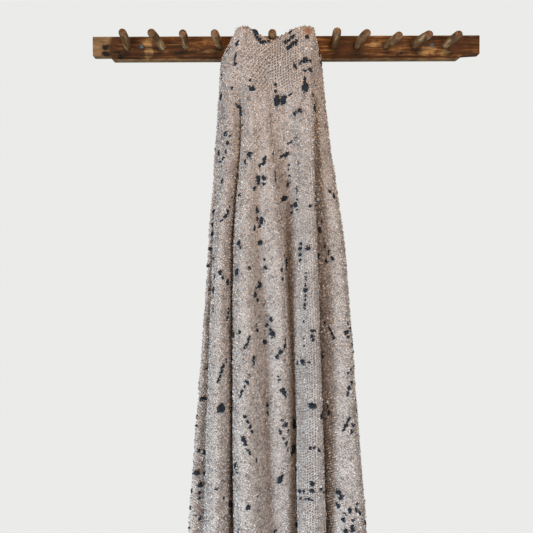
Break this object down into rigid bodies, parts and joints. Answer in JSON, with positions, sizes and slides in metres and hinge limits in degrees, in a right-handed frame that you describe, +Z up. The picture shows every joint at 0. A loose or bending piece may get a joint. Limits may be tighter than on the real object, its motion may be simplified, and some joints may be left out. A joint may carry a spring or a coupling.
{
  "type": "throw blanket on a wooden peg rail",
  "caption": "Loosely woven throw with dark slubs, hung in deep folds over the pegs of a wall-mounted wooden peg rail.",
  "frame": {"origin": "centre of the board's back face, which lies against the wall", "axes": "+Y into the wall, +X along the rail to the right as seen from the room, +Z up"},
  "size_m": [0.863, 0.1403, 1.3441],
  "materials": {
    "board_wood": "dark, worn and waxed",
    "peg_wood": "worn, with darker end grain",
    "screw_steel": "dull",
    "throw_cloth": "open boucle weave with dark slubs"
  },
  "bodies": {
    "root": {"board": "board_wood", "peg_01": "peg_wood", "peg_02": "peg_wood", "peg_03": "peg_wood", "peg_04": "peg_wood", "peg_05": "peg_wood", "peg_06": "peg_wood", "peg_07": "peg_wood", "peg_08": "peg_wood", "peg_09": "peg_wood", "peg_10": "peg_wood", "peg_11": "peg_wood", "peg_12": "peg_wood", "screw_1": "screw_steel", "screw_2": "screw_steel", "throw": "throw_cloth"}
  },
  "joints": []
}
